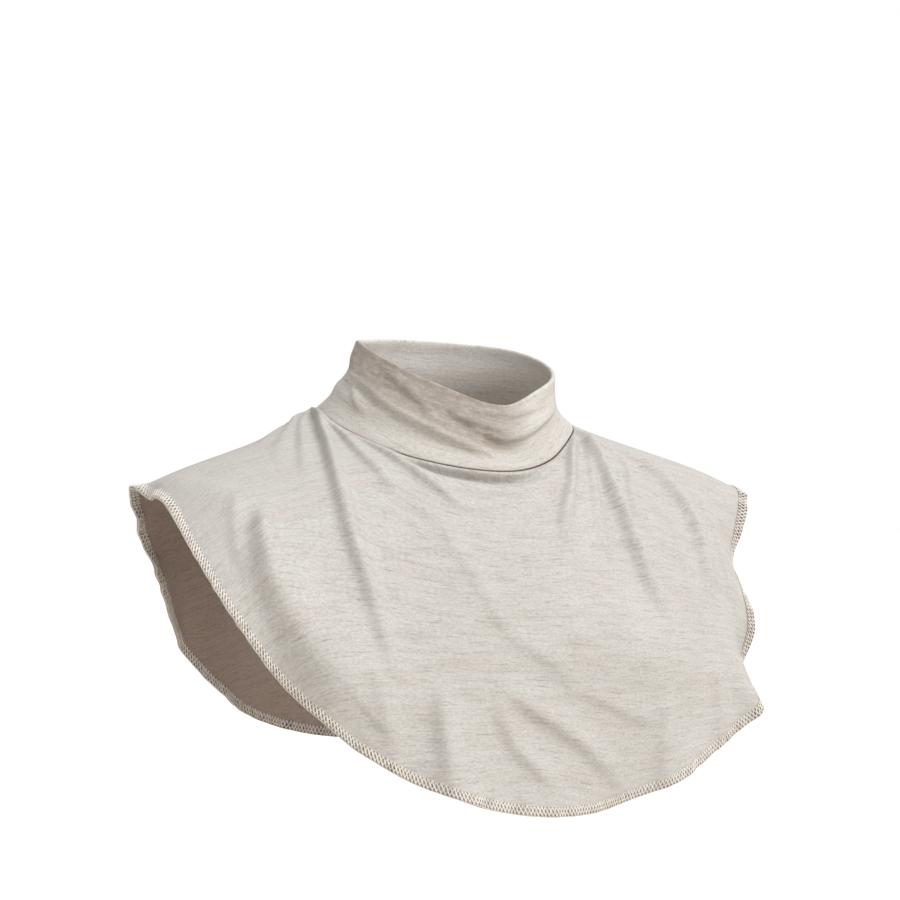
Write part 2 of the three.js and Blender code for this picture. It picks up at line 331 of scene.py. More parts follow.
BACK_FOLDS = (
    Fold(((134, 0.04), (128, 0.3), (120, 0.6)), 4, 12, 0.6),
    Fold(((112, 0.03), (108, 0.2), (104, 0.4)), 2.5, 9, 0.6),
    Fold(((30, 0.04), (40, 0.3), (52, 0.6)), 4, 12, 0.6),
    Fold(((62, 0.03), (68, 0.2), (74, 0.4)), 2.5, 9, 0.6),
)

CAPE_FOLDS = RIGHT_NECK_FOLDS + LEFT_NECK_FOLDS + SEAM_FOLDS + EDGE_FOLDS + BACK_FOLDS

RUFFLES = (
    Ruffle(353, 5, 0, 0.3, 6),
    Ruffle(345, 5, -15, 0.3),
    Ruffle(334, 4, 5, 0.3, 6),
    Ruffle(326, 4, -13, 0.35),
    Ruffle(317, 4, 15, 0.35),
    Ruffle(308, 3, 1, 0.25),
    Ruffle(297, 4, 5, 0.28),
    Ruffle(287, 7, -9, 0.35),
    Ruffle(270, 5, 3, 0.25),
    Ruffle(257, 4, 8, 0.34),
    Ruffle(249, 3, -2, 0.25),
    Ruffle(240, 3, -5, 0.25),
    Ruffle(228, 9, -10, 0.35),
    Ruffle(185, 3.5, 3.5, 0.12, 3),
    Ruffle(176.5, 2.5, -6, 0.1),
    Ruffle(171, 2, 3.5, 0.1),
    Ruffle(163, 1.8, -4, 0.12),
    Ruffle(158, 5, -7, 0.25),
    Ruffle(158.5, 1.8, 4, 0.12),
    Ruffle(153.5, 2, -5, 0.12),
    Ruffle(147.5, 2, 4, 0.12),
    Ruffle(140, 3, -4, 0.12),
    Ruffle(148, 4, -11, 0.3),
    Ruffle(137, 4, 5, 0.3),
    Ruffle(122, 5, -5, 0.3),
    Ruffle(106, 6, 5, 0.3),
    Ruffle(90, 6, -5, 0.3),
    Ruffle(74, 6, 5, 0.3),
    Ruffle(58, 5, -5, 0.3),
    Ruffle(43, 4, 5, 0.3),
    Ruffle(30, 4, -7, 0.25),
    Ruffle(17, 4, 4, 0.25),
)

COLLAR_FOLDS = (
    Fold(
        (
            (163, 0.357), (173, 0.393), (189, 0.448), (202, 0.504),
            (217, 0.557), (231, 0.595), (247, 0.66), (254, 0.727),
        ),
        5.4, 9, 0.38,
    ),
    Fold(
        ((246, 0.41), (254, 0.44), (262, 0.5), (273, 0.49), (284, 0.47), (298, 0.44), (316, 0.44)),
        4, 7, 0.4,
    ),
    Fold(((194, 0.09), (203, 0.117), (210, 0.178), (218, 0.251), (225, 0.387), (232, 0.5)), 2, 7, 0.5),
    Fold(((236, 0.29), (242, 0.312), (248, 0.312), (257, 0.331), (267, 0.404)), 3.4, 6, 0.45),
    Fold(((170, 0.4), (175, 0.49), (182, 0.57), (188, 0.66), (193, 0.72)), 2.2, 5, 0.5),
    Fold(((245, 0.12), (249, 0.12), (253, 0.13), (261, 0.12)), 1.8, 4, 0.5),
    Fold(((265, 0.1), (273, 0.13), (281, 0.16), (290, 0.21)), 1.5, 5, 0.5),
)


def smoothstep(share: Array) -> Array:
    """Rises smoothly from 0 to 1 as the share does."""
    held = np.clip(share, 0, 1)
    return held * held * (3 - 2 * held)


def unit(vectors: Array) -> Array:
    """Vectors scaled to a length of one."""
    return vectors / np.linalg.norm(vectors, axis=-1, keepdims=True)


def eased(t: Array, start: Array, end: Array, leave: Array, arrive: Array) -> Array:
    """Follows the smooth curve between two values.

    Args:
        t: Share of the way, from 0 to 1.
        start: Value at 0.
        end: Value at 1.
        leave: Slope at 0.
        arrive: Slope at 1.

    Returns:
        The value at each share.
    """
    return (
        (2 * t**3 - 3 * t**2 + 1) * start
        + (t**3 - 2 * t**2 + t) * leave
        + (3 * t**2 - 2 * t**3) * end
        + (t**3 - t**2) * arrive
    )


def smooth_path(places: Sequence[Sequence[float]], steps: int) -> Array:
    """Follows a smooth curve through a few places.

    Args:
        places: The places that the curve passes.
        steps: Number of steps along the whole curve.

    Returns:
        The places at the steps, one row each.
    """
    knots = np.array(places, dtype=float)
    padded = np.vstack([knots[:1], knots, knots[-1:]])
    position = np.linspace(0, len(knots) - 1, steps + 1)
    span = np.minimum(position.astype(int), len(knots) - 2)
    t = (position - span)[:, None]
    before, start, end, after = (padded[span + shift] for shift in range(4))
    return eased(t, start, end, (end - before) / 2, (after - start) / 2)


class RoundTable:
    """Smooth closed curves through the rows of a table, read at any angle."""

    def __init__(self, rows: Sequence[Sequence[float]]) -> None:
        """Keeps the rows of the table.

        Args:
            rows: Rows whose first column is the angle, in rising order from 0.
        """
        table = np.array(rows, dtype=float)
        self.angles = table[:, 0]
        self.values = table[:, 1:]

    def at(self, angle: Array) -> Array:
        """Reads the other columns.

        Args:
            angle: Angles in degrees.

        Returns:
            One row of values for each angle.
        """
        wrapped = np.mod(angle, 360)
        count = len(self.angles)
        last = np.searchsorted(self.angles, wrapped, side="right") - 1
        before, ahead, after = (last - 1) % count, (last + 1) % count, (last + 2) % count
        span_before = np.mod(self.angles[last] - self.angles[before], 360)[..., None]
        span = np.mod(self.angles[ahead] - self.angles[last], 360)[..., None]
        span_after = np.mod(self.angles[after] - self.angles[ahead], 360)[..., None]
        t = np.mod(wrapped - self.angles[last], 360)[..., None] / span
        start, end = self.values[last], self.values[ahead]
        leave = (end - self.values[before]) * span / (span_before + span)
        arrive = (self.values[after] - start) * span / (span + span_after)
        return eased(t, start, end, leave, arrive)


SEAM_LINE = RoundTable(SEAM)
RIM_LINE = RoundTable(RIM)
HEM_LINE = RoundTable(HEM)
COURSE_LINE = RoundTable(COURSES)


class ClothSurface(ABC):
    """Outer face of a piece of cloth round the neck, with its folds."""

    PROBE = 0.01
    PROBE_TURN = 1.0
    FOLD_STEPS = 30
    FOLD_REACH = 3.0

    def __init__(self, folds: Sequence[Fold]) -> None:
        """Keeps the folds that lie on the surface."""
        self.folds = folds

    @abstractmethod
    def form(self, angle: Array, along: Array) -> Array:
        """Places of the smooth surface without its folds, at a share of the way down."""

    def outward(self, angle: Array, along: Array) -> Array:
        """Works out the outward directions of the smooth surface.

        Args:
            angle: Angles in degrees, one for each place.
            along: Shares of the way down.

        Returns:
            One direction for each place.
        """
        up = self.form(angle, np.maximum(0, along - self.PROBE))
        down = self.form(angle, np.minimum(1, along + self.PROBE))
        behind = self.form(angle - self.PROBE_TURN, along)
        ahead = self.form(angle + self.PROBE_TURN, along)
        return unit(np.cross(down - up, ahead - behind))

    def fold_lift(self, fold: Fold, points: Array, outward: Array) -> Array:
        """Works out how far one fold lifts the cloth.

        Args:
            fold: The fold.
            points: Places on the smooth surface, one row each.
            outward: Outward directions there.

        Returns:
            The lift at each place.
        """
        places = smooth_path(fold.crest, self.FOLD_STEPS)
        crest = self.form(places[:, 0], places[:, 1])
        reach = self.FOLD_REACH * fold.width
        near = np.all((points > crest.min(axis=0) - reach) & (points < crest.max(axis=0) + reach), axis=1)
        inside, facing = points[near], outward[near]
        ridge = np.zeros(len(inside))
        for step in range(self.FOLD_STEPS):
            start = crest[step]
            line = crest[step + 1] - start
            along = np.clip((inside - start) @ line / (line @ line), 0, 1)
            gap = inside - start - along[:, None] * line
            beside = np.einsum("ij,ij->i", gap, np.cross(facing, line)) * fold.side > 0
            reached = (step + along) / self.FOLD_STEPS
            width = fold.width * (fold.opening + (1 - fold.opening) * reached)
            width = np.where(beside, fold.steep * width, width)
            fade = 1 - (2 * reached - 1) ** 4
            ridge = np.maximum(ridge, fade * np.exp(-((np.linalg.norm(gap, axis=1) / width) ** 2)))
        lift = np.zeros(len(points))
        lift[near] = fold.height * ridge
        return lift

    @abstractmethod
    def hold(self, along: Array) -> Array:
        """How far the folds may show at a share of the way down: 0 where a seam holds them flat."""

    def edge_lift(self, angle: Array, along: Array) -> Array:
        """Lift of the cloth near its edges, apart from the folds."""
        return np.zeros(len(angle))

    def face(self, angle: Array, along: Array) -> tuple[Array, Array]:
        """Works out the outer face of the cloth.

        Args:
            angle: Angles in degrees, one for each place.
            along: Shares of the way down.

        Returns:
            The places and the outward directions of the smooth surface there.
        """
        points = self.form(angle, along)
        outward = self.outward(angle, along)
        lift = self.edge_lift(angle, along)
        for fold in self.folds:
            lift = lift + self.fold_lift(fold, points, outward)
        return points + outward * (lift * self.hold(along))[:, None], outward


class CapeSurface(ClothSurface):
    """Outer face of the cape, from the neck seam (0) to its edge (1)."""

    HANG_SHARE = 0.36
    SEAM_HOLD = 0.012
    LIP_SHARE = 0.07
    RIPPLE = 0.7
    RIPPLES = 83
    FINE_RIPPLES = 131
    FINE_SHARE = 0.5
    DRIFTS = 5
    SWELLS = 7
    SWELL_SHARE = 0.4

    def __init__(self, folds: Sequence[Fold], ruffles: Sequence[Ruffle]) -> None:
        """Keeps the folds and the ruffles of the edge."""
        super().__init__(folds)
        self.ruffles = ruffles

    @staticmethod
    def downhill(outward: Array, slope: Array) -> Array:
        """Directions that fall by a slope in degrees on the way outward."""
        angle = np.radians(slope)
        return outward * np.cos(angle) + np.array([0.0, 0.0, -1.0]) * np.sin(angle)

    def form(self, angle: Array, along: Array) -> Array:
        """Works out the smooth cape, each place on the line in which the cloth hangs at its angle.

        Args:
            angle: Angles in degrees, one for each place.
            along: Shares of the way down.

        Returns:
            The places, one row each.
        """
        seam = SEAM_LINE.at(angle)
        row = HEM_LINE.at(angle)
        edge, leave, arrive = row[..., :3], row[..., 3:4], row[..., 4:5]
        outward = unit((edge - seam) * np.array([1.0, 1.0, 0.0]))
        reach = self.HANG_SHARE * np.linalg.norm(edge - seam, axis=-1, keepdims=True)
        near = seam + self.downhill(outward, leave) * reach
        far = edge - self.downhill(outward, arrive) * reach
        t = np.asarray(along, dtype=float)[..., None]
        return (1 - t) ** 3 * seam + 3 * (1 - t) ** 2 * t * near + 3 * (1 - t) * t**2 * far + t**3 * edge

    def share_of(self, length: float, angle: Array) -> Array:
        """Share of a hanging line that a length of cloth takes at either end."""
        chord = np.linalg.norm(HEM_LINE.at(angle)[..., :3] - SEAM_LINE.at(angle), axis=-1)
        return length / (3 * self.HANG_SHARE * chord)

    def hold(self, along: Array) -> Array:
        """The neck seam holds the first of the cloth flat."""
        return smoothstep(along / self.SEAM_HOLD)

    def edge_lift(self, angle: Array, along: Array) -> Array:
        """Lifts the ruffles of the edge, and the fine ripple that its stitching leaves.

        Args:
            angle: Angles in degrees, one for each place.
            along: Shares of the way down.

        Returns:
            The lift at each place.
        """
        lift = np.zeros(len(angle))
        for ruffle in self.ruffles:
            across = (np.mod(angle - ruffle.angle + 180, 360) - 180) / ruffle.spread
            down = np.clip((along - 1 + ruffle.reach) / ruffle.reach, 0, 1) ** 2
            lip = np.clip(1 - (1 - along) / self.LIP_SHARE, 0, 1) ** 2
            lift += (ruffle.push * down + ruffle.flare * (lip - down)) * np.exp(-(across**2))
        turned = np.radians(angle)
        swell = 1 - self.SWELL_SHARE + self.SWELL_SHARE * np.sin(self.SWELLS * turned + 1)
        ripple = np.sin(self.RIPPLES * turned + 2 * np.sin(self.DRIFTS * turned))
        ripple = ripple + self.FINE_SHARE * np.sin(self.FINE_RIPPLES * turned + 2)
        return lift + self.RIPPLE * swell * ripple * smoothstep((along - 1 + self.LIP_SHARE) / self.LIP_SHARE)


class CollarSurface(ClothSurface):
    """Outer face of the folded collar, from its rim (0) to the neck seam (1)."""

    RIM_HALF_WIDTH = 73
    RIM_HALF_DEPTH = 63
    RIM_FORWARD = 7
    EDGE_HOLD = 0.15

    def form(self, angle: Array, along: Array) -> Array:
        """Works out the smooth collar, between the rim and the neck seam.

        Args:
            angle: Angles in degrees, one for each place.
            along: Shares of the way down.

        Returns:
            The places, one row each.
        """
        turned = np.radians(angle)
        height = RIM_LINE.at(angle)[..., 0]
        across = self.RIM_HALF_WIDTH * np.cos(turned)
        deep = self.RIM_HALF_DEPTH * np.sin(turned) - self.RIM_FORWARD
        rim = np.stack([across, deep, height], axis=-1)
        seam = SEAM_LINE.at(angle)
        rightness = 0.5 - 0.5 * np.cos(turned)
        drop = np.broadcast_to(along, rightness.shape)
        right, left = (self.moved_out(drop, column) for column in (1, 2))
        out = right * rightness + left * (1 - rightness)
        share = np.stack([out, out, drop], axis=-1)
        return rim * (1 - share) + seam * share

    @staticmethod
    def moved_out(drop: Array, column: int) -> Array:
        """Reads one side of the collar's profile on a smooth curve through its rows.

        Args:
            drop: Shares of the way down from the rim.
            column: Number of the profile's column for that side.

        Returns:
            How far out the collar has moved, as a share.
        """
        table = np.array(COLLAR_PROFILE, dtype=float)
        drops, values = table[:, 0], table[:, column]
        slopes = np.gradient(values, drops)
        step = np.clip(np.searchsorted(drops, drop, side="right") - 1, 0, len(drops) - 2)
        span = drops[step + 1] - drops[step]
        t = (drop - drops[step]) / span
        return eased(t, values[step], values[step + 1], slopes[step] * span, slopes[step + 1] * span)

    def hold(self, along: Array) -> Array:
        """The rim and the neck seam hold the cloth flat."""
        return smoothstep(along / self.EDGE_HOLD) * smoothstep((1 - along) / self.EDGE_HOLD)


def linear(red: int, green: int, blue: int) -> Colour:
    """Turns a colour into shader values.

    Args:
        red: Red as a paint chart gives it, from 0 to 255.
        green: Green in the same way.
        blue: Blue in the same way.

    Returns:
        The shader's red, green, blue and full cover.
    """
    parts = [part / 255 for part in (red, green, blue)]
    lit = [part / 12.92 if part <= 0.04045 else ((part + 0.055) / 1.055) ** 2.4 for part in parts]
    return (lit[0], lit[1], lit[2], 1.0)


class Wire:
    """Output of a node, with operators that add Math nodes."""

    def __init__(self, tree: "FinishTree", socket: bpy.types.NodeSocket) -> None:
        """Keeps the socket and the tree that it is in."""
        self.tree = tree
        self.socket = socket

    def maths(self, operation: str, *values: "Wire | float") -> "Wire":
        """Adds a Math node of one operation on some values."""
        return self.tree.node("ShaderNodeMath", {"operation": operation}, dict(enumerate(values)))

    def __add__(self, other: "Wire | float") -> "Wire":
        """Sum of two values."""
        return self.maths("ADD", self, other)

    def __radd__(self, other: float) -> "Wire":
        """Sum with a number on the left."""
        return self.maths("ADD", other, self)

    def __sub__(self, other: "Wire | float") -> "Wire":
        """Difference of two values."""
        return self.maths("SUBTRACT", self, other)

    def __rsub__(self, other: float) -> "Wire":
        """Difference with a number on the left."""
        return self.maths("SUBTRACT", other, self)

    def __mul__(self, other: "Wire | float") -> "Wire":
        """Product of two values."""
        return self.maths("MULTIPLY", self, other)

    def __rmul__(self, other: float) -> "Wire":
        """Product with a number on the left."""
        return self.maths("MULTIPLY", other, self)

    def __truediv__(self, other: "Wire | float") -> "Wire":
        """Quotient of two values."""
        return self.maths("DIVIDE", self, other)

    def __abs__(self) -> "Wire":
        """Value without its sign."""
        return self.maths("ABSOLUTE", self)

    def fraction(self) -> "Wire":
        """Part of the value after its point."""
        return self.maths("FRACT", self)

    def sine(self) -> "Wire":
        """Sine of the value in radians."""
        return self.maths("SINE", self)

    def between(self, low: float, high: float) -> "Wire":
        """Rises smoothly from 0 at the low value to 1 at the high one."""
        sockets = {"Value": self, "From Min": low, "From Max": high}
        return self.tree.node("ShaderNodeMapRange", {"interpolation_type": "SMOOTHSTEP"}, sockets)


class FinishTree:
    """Node tree of one material."""

    def __init__(self, name: str) -> None:
        """Makes an empty material.

        Args:
            name: The material's name.
        """
        self.material = bpy.data.materials.new(name)
        self.material.use_nodes = True
        self.tree = self.material.node_tree
        self.tree.nodes.clear()

    def add(self, kind: str, settings: dict[str, Any], sockets: dict[str | int, Any]) -> bpy.types.Node:
        """Adds a node.

        Args:
            kind: The node's type.
            settings: Its settings by name.
            sockets: Values or wires for its inputs, by name or number.

        Returns:
            The node.
        """
        node = self.tree.nodes.new(kind)
        for name, value in settings.items():
            setattr(node, name, value)
        for name, value in sockets.items():
            if isinstance(value, Wire):
                self.tree.links.new(value.socket, node.inputs[name])
            else:
                node.inputs[name].default_value = value
        return node

    def node(
        self,
        kind: str,
        settings: dict[str, Any] | None = None,
        sockets: dict[str | int, Any] | None = None,
        output: str | int = 0,
    ) -> Wire:
        """Adds a node and gives the wire from one of its outputs."""
        return Wire(self, self.add(kind, settings or {}, sockets or {}).outputs[output])

    def mix(self, share: Wire | float, first: Any, second: Any, blend: str = "MIX") -> Wire:
        """Mixes two colours."""
        settings = {"data_type": "RGBA", "blend_type": blend}
        return self.node("ShaderNodeMix", settings, {0: share, 6: first, 7: second}, output=2)

    def part(self, vector: Wire, axis: str) -> Wire:
        """One part of a vector."""
        return self.node("ShaderNodeSeparateXYZ", {}, {0: vector}, output=axis)

    def stretched(self, vector: Wire, scale: tuple[float, float, float]) -> Wire:
        """Vector whose parts are multiplied by the scale."""
        return self.node("ShaderNodeVectorMath", {"operation": "MULTIPLY"}, {0: vector, 1: scale})

    def noise(self, vector: Wire, scale: float = 1.0, detail: float = 2.0) -> Wire:
        """Soft noise of one value over a vector."""
        sockets = {"Vector": vector, "Scale": scale, "Detail": detail, "Roughness": 0.55}
        return self.node("ShaderNodeTexNoise", {}, sockets)

    def finish(self, shader: Wire) -> bpy.types.Material:
        """Joins the shader to the material's output."""
        self.add("ShaderNodeOutputMaterial", {}, {"Surface": shader})
        return self.material


class Flecks(NamedTuple):
    """Flecks on the flat cloth.

    Across and down say how many there are to a metre, low and high at which noise they start and
    are full, and share how much of the second colour they add.
    """

    across: float
    down: float
    low: float
    high: float
    share: float


@dataclass(frozen=True)
class JerseyFinish:
    """Heather jersey: a fine knit of light and dark fibres, with short streaks along its courses."""

    name: str
    slot: str
    light: Colour
    dark: Colour
    rose: Colour
    # Colour multiplied over the inner face of the cloth as painted shade
    inside_shade: Colour
    # Colour multiplied over the cloth under the overlock threads as painted shade between them
    thread_shade: Colour = (0.98, 0.94, 0.89, 1.0)
    wale: float = 0.0009
    course: float = 0.0007
    relief: float = 0.00022
    loop_slant: float = 0.6
    loop_height: float = 0.3
    side_dip: float = 0.6
    fibre_height: float = 1.2
    thin_streaks: Flecks = Flecks(75, 900, 0.52, 0.72, 0.34)
    soft_streaks: Flecks = Flecks(34, 330, 0.4, 0.7, 0.14)
    grain: Flecks = Flecks(340, 820, 0.3, 0.7, 0.28)
    fibres: Flecks = Flecks(700, 1500, 0.3, 0.7, 0.22)
    patches: Flecks = Flecks(17, 85, 0.42, 0.62, 0.65)

    def material(self) -> bpy.types.Material:
        """Makes the material, which reads the cloth's flat pattern in metres.

        Returns:
            The material.
        """
        tree = FinishTree(self.name)
        flat = tree.node("ShaderNodeUVMap", {"uv_map": PATTERN})
        fibre = self.noise(tree, flat, self.fibres)
        height = self.knit(tree, flat) * self.loop_height + fibre * self.fibre_height
        bump = tree.node("ShaderNodeBump", {}, {"Strength": 0.7, "Distance": self.relief, "Height": height})
        sockets = {
            "Base Color": self.colour(tree, flat, fibre),
            "Roughness": 0.9,
            "Specular IOR Level": 0.1,
            "Sheen Weight": 0.04,
            "Sheen Roughness": 0.55,
            "Normal": bump,
        }
        return tree.finish(tree.node("ShaderNodeBsdfPrincipled", {}, sockets))

    @staticmethod
    def noise(tree: FinishTree, flat: Wire, flecks: Flecks) -> Wire:
        """Noise of some flecks, stretched over the flat cloth."""
        return tree.noise(tree.stretched(flat, (flecks.across, flecks.down, 0)), detail=3)

    def strength(self, tree: FinishTree, flat: Wire, flecks: Flecks) -> Wire:
        """How strongly some flecks show, from 0 up to their share."""
        return self.noise(tree, flat, flecks).between(flecks.low, flecks.high) * flecks.share

    def colour(self, tree: FinishTree, flat: Wire, fibre: Wire) -> Wire:
        """Works out the heather colour.

        Args:
            tree: The material's tree.
            flat: The flat pattern's coordinates.
            fibre: Noise of the single fibres.

        Returns:
            The colour.
        """
        streaks = self.strength(tree, flat, self.thin_streaks) + self.strength(tree, flat, self.soft_streaks)
        single = fibre.between(self.fibres.low, self.fibres.high) * self.fibres.share
        shade = streaks + self.strength(tree, flat, self.grain) + single
        heather = tree.mix(shade, self.light, self.dark)
        face = tree.mix(self.strength(tree, flat, self.patches), heather, self.rose, "MULTIPLY")
        # Painted shade: the inner face and the cloth under the overlock threads are multiplied darker
        for mark, tone in ((INSIDE, self.inside_shade), (UNDER_THREADS, self.thread_shade)):
            share = tree.node("ShaderNodeAttribute", {"attribute_name": mark}, output="Fac")
            face = tree.mix(share, face, tone, "MULTIPLY")
        return face

    def knit(self, tree: FinishTree, flat: Wire) -> Wire:
        """Works out the height of the knitted loops: a V in every wale, one in each course.

        Args:
            tree: The material's tree.
            flat: The flat pattern's coordinates.

        Returns:
            The height, from 0 to 1.
        """
        across = tree.part(flat, "X")
        down = tree.part(flat, "Y")
        side = abs((across / self.wale).fraction() * 2 - 1)
        loop = ((down / self.course + side * self.loop_slant) * math.tau).sine()
        return (loop * 0.5 + 0.5) * (1 - side * self.side_dip)


class ShadeSpan(NamedTuple):
    """Distances on the flat cloth in metres at which the painted shade starts, is full, fades and has gone.
    """

    start: float
    full: float
    fading: float
    gone: float


@dataclass(frozen=True)
class ShadedBandFinish(JerseyFinish):
    """Jersey of the folded band, with painted shade, mottled, on the upper part of its outer face down to the
    tilted line of its fold.
    """

    # Colour multiplied over the upper band as painted shade, mottled
    deep: Colour = (1.0, 1.0, 1.0, 1.0)
    band: ShadeSpan = ShadeSpan(0.0, 0.0, 0.0, 0.0)
    reach: ShadeSpan = ShadeSpan(0.0, 0.0, 0.0, 0.0)
    tilt: float = 0.135
    tilt_from: float = 0.153
    mottle_scale: tuple[float, float, float] = (130, 210, 0)
    waver_along: float = 0.02
    waver_down: float = 0.008
    mottle_gain: float = 1.3
    shade_strength: float = 0.9

    def colour(self, tree: FinishTree, flat: Wire, fibre: Wire) -> Wire:
        """Works out the heather colour with the painted shade.

        Args:
            tree: The material's tree.
            flat: The flat pattern's coordinates.
            fibre: Noise of the single fibres.

        Returns:
            The colour.
        """
        heather = super().colour(tree, flat, fibre)
        mottle = tree.noise(tree.stretched(flat, self.mottle_scale), detail=3) - 0.5
        along = tree.part(flat, "X") + mottle * self.waver_along
        down = tree.part(flat, "Y") + mottle * self.waver_down
        tilted_down = down - (along - self.tilt_from) * self.tilt
        band = down.between(self.band.start, self.band.full)
        band = band * (1 - tilted_down.between(self.band.fading, self.band.gone))
        reach = along.between(self.reach.start, self.reach.full)
        reach = reach * (1 - along.between(self.reach.fading, self.reach.gone))
        # Painted shade: the upper band is darkened, with a mottle, down to the tilted line of its fold
        share = band * reach * (mottle * self.mottle_gain + self.shade_strength)
        return tree.mix(share, heather, self.deep, "MULTIPLY")


@dataclass(frozen=True)
class ThreadFinish:
    """Soft overlock thread with loose fibres."""

    name: str
    slot: str
    light: Colour
    dark: Colour
    fibre_scale: float = 2600
    patch_scale: float = 280
    fibre_share: float = 0.5
    patch_share: float = 0.4
    relief: float = 0.00012

    def material(self) -> bpy.types.Material:
        """Makes the material from the place on the object.

        Returns:
            The material.
        """
        tree = FinishTree(self.name)
        place = tree.node("ShaderNodeTexCoord", output="Object")
        fibres = tree.noise(place, scale=self.fibre_scale, detail=3)
        patches = tree.noise(place, scale=self.patch_scale)
        shade = fibres.between(0.35, 0.75) * self.fibre_share + patches.between(0.4, 0.7) * self.patch_share
        bump = tree.node("ShaderNodeBump", {}, {"Strength": 0.8, "Distance": self.relief, "Height": fibres})
        sockets = {
            "Base Color": tree.mix(shade, self.light, self.dark),
            "Roughness": 0.85,
            "Specular IOR Level": 0.15,
            "Sheen Weight": 0.04,
            "Normal": bump,
        }
        return tree.finish(tree.node("ShaderNodeBsdfPrincipled", {}, sockets))


@dataclass(frozen=True)
class PaperFinish:
    """Matt pale paper of the studio floor."""

    name: str
    colour: Colour
    cloud: Colour
    cloud_scale: float = 1.5
    cloud_share: float = 0.03

    def material(self) -> bpy.types.Material:
        """Makes the material, with a faint cloudiness in the paper.

        Returns:
            The material.
        """
        tree = FinishTree(self.name)
        place = tree.node("ShaderNodeTexCoord", output="Object")
        clouds = tree.noise(place, scale=self.cloud_scale).between(0.3, 0.7)
        soft = tree.mix(clouds * self.cloud_share, self.colour, self.cloud)
        sockets = {"Base Color": soft, "Roughness": 0.95, "Specular IOR Level": 0.1}
        return tree.finish(tree.node("ShaderNodeBsdfPrincipled", {}, sockets))


CAPE_JERSEY = JerseyFinish(
    "cape_jersey",
    "cape_jersey",
    light=linear(170, 167, 161),
    dark=linear(121, 116, 109),
    rose=linear(252, 247, 246),
    inside_shade=linear(226, 208, 200),
)
# The collar's jersey, with painted shade on the upper part of its outer band
COLLAR_JERSEY = ShadedBandFinish(
    "collar_jersey",
    "collar_jersey",
    light=linear(178, 174, 168),
    dark=linear(128, 122, 113),
    rose=linear(251, 247, 244),
    inside_shade=linear(216, 202, 193),
    deep=linear(205, 198, 193),
    band=ShadeSpan(0.0505, 0.0525, 0.079, 0.086),
    reach=ShadeSpan(0.055, 0.1, 0.222, 0.262),
)
OVERLOCK_THREAD = ThreadFinish(
    "overlock_thread", "hem_overlock", light=linear(198, 192, 184), dark=linear(149, 140, 130)
)
STUDIO_PAPER = PaperFinish("studio_paper", linear(220, 213, 204), linear(208, 208, 208))


class Layer(Enum):
    """Side of the cloth that a thread lies on."""

    OUTER = "outer"
    INNER = "inner"


def dress(piece: bpy.types.Object, material: bpy.types.Material) -> None:
    """Gives a piece its one material."""
    piece.data.materials.clear()
    piece.data.materials.append(material)


def select_only(piece: bpy.types.Object) -> None:
    """Selects one piece and makes it the active one.

    Args:
        piece: The piece.
    """
    bpy.ops.object.select_all(action="DESELECT")
    piece.select_set(True)
    bpy.context.view_layer.objects.active = piece


def flat_sheet(name: str, columns: int, rows: int) -> tuple[bpy.types.Object, Array, Array]:
    """Adds a flat grid of cloth that is then shaped point by point.

    Args:
        name: The piece's name.
        columns: Number of faces along the cloth.
        rows: Number of faces down the cloth.

    Returns:
        The piece, and the column and the row of each of its points.
    """
    bpy.ops.object.select_all(action="DESELECT")
    bpy.ops.mesh.primitive_grid_add(x_subdivisions=columns, y_subdivisions=rows, size=1)
    sheet = bpy.context.object
    sheet.name = name
    sheet.data.name = name
    sheet.data.uv_layers.active.name = PATTERN
    places = np.empty(3 * len(sheet.data.vertices), dtype=np.float32)
    sheet.data.vertices.foreach_get("co", places)
    flat = places.reshape(-1, 3)
    column = np.rint((flat[:, 0] + 0.5) * columns).astype(int)
    row = np.rint((0.5 - flat[:, 1]) * rows).astype(int)
    return sheet, column, row


def shape_sheet(sheet: bpy.types.Object, points: Array, pattern: Array) -> None:
    """Moves the points of a sheet and lays its flat pattern on it.

    Args:
        sheet: The sheet.
        points: New places of its points in millimetres.
        pattern: Coordinates of each point on the flat cloth in millimetres.
    """
    sheet.data.vertices.foreach_set("co", (points * MM).astype(np.float32).ravel())
    corners = np.empty(len(sheet.data.loops), dtype=np.int32)
    sheet.data.loops.foreach_get("vertex_index", corners)
    sheet.data.uv_layers[PATTERN].data.foreach_set("uv", (pattern[corners] * MM).astype(np.float32).ravel())
    sheet.data.update()


def sew_closed(sheet: bpy.types.Object) -> None:
    """Joins the first and last columns of a sheet, which lie at the same places.

    Args:
        sheet: The sheet, shaped as a ring.
    """
    select_only(sheet)
    bpy.ops.object.mode_set(mode="EDIT")
    bpy.ops.mesh.select_all(action="SELECT")
    bpy.ops.mesh.remove_doubles(threshold=SEWN_WITHIN)
    bpy.ops.object.mode_set(mode="OBJECT")


def weigh_cloth(sheet: bpy.types.Object, thin: Array) -> None:
    """Marks where the cloth has its full thickness, and where it is pressed thin.

    Args:
        sheet: The sheet, before it is sewn closed.
        thin: Numbers of the points that are pressed thin.
    """
    full = sheet.vertex_groups.new(name=FULL_CLOTH)
    full.add(list(range(len(sheet.data.vertices))), 1.0, "REPLACE")
    full.add(thin.tolist(), 0.0, "REPLACE")


def mark_points(sheet: bpy.types.Object, name: str, points: Array) -> None:
    """Marks some points of a sheet, before it is sewn closed, as a vertex group of that name."""
    sheet.vertex_groups.new(name=name).add(points.tolist(), 1.0, "REPLACE")


def ease(sheet: bpy.types.Object) -> None:
    """Eases the loose part of a sheet, so that narrow folds run evenly across its mesh.

    Args:
        sheet: The sheet, sewn closed and with its loose cloth marked.
    """
    smooth = sheet.modifiers.new("ease", "SMOOTH")
    smooth.factor = EASE_FACTOR
    smooth.iterations = EASE_ROUNDS
    smooth.vertex_group = LOOSE_CLOTH
    select_only(sheet)
    bpy.ops.object.modifier_apply(modifier=smooth.name)


